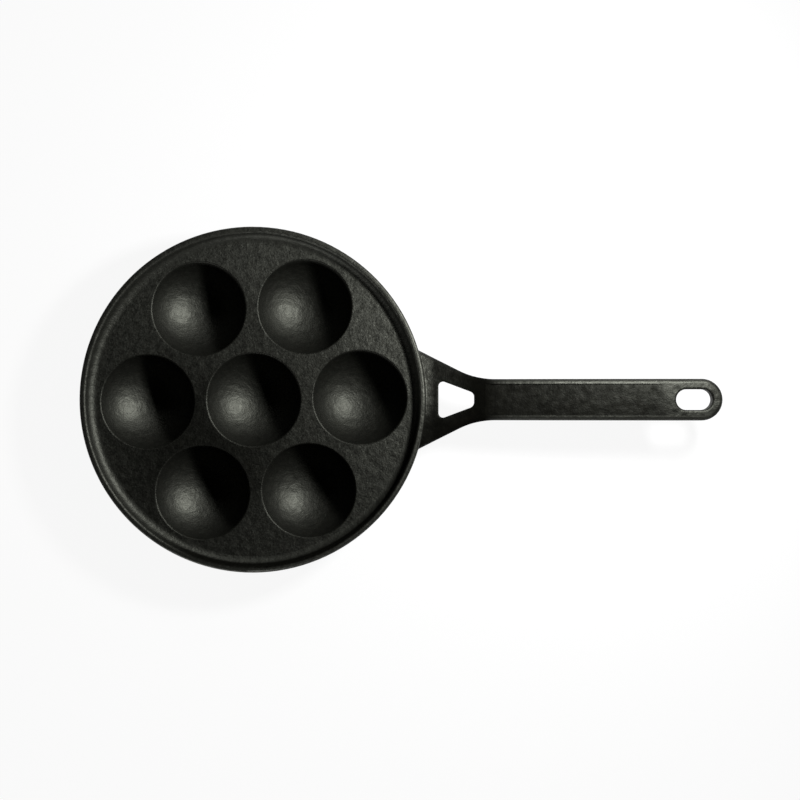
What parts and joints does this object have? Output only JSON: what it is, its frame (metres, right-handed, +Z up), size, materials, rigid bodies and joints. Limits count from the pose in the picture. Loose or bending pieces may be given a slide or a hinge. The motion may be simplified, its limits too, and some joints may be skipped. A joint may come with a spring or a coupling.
{
  "type": "aebleskiver pan",
  "caption": "Round cast-iron pan with round cups for filled pancake balls, a low rim and a forked handle with a hanging slot.",
  "frame": {"origin": "middle of the centre cup's flat foot, on the pan's axis", "axes": "+Z up out of the cups, +X from the pan along the handle"},
  "size_m": [0.3735, 0.2031, 0.0467],
  "materials": {
    "seasoned_iron": "sand-cast, oven-seasoned, satin"
  },
  "bodies": {
    "root": {"rim_wall": "seasoned_iron", "floor_plate": "seasoned_iron", "center_cup": "seasoned_iron", "outer_cup_1": "seasoned_iron", "outer_cup_2": "seasoned_iron", "outer_cup_3": "seasoned_iron", "outer_cup_4": "seasoned_iron", "outer_cup_5": "seasoned_iron", "outer_cup_6": "seasoned_iron", "handle_fork": "seasoned_iron", "handle_grip": "seasoned_iron", "hanging_eye": "seasoned_iron"}
  },
  "joints": []
}
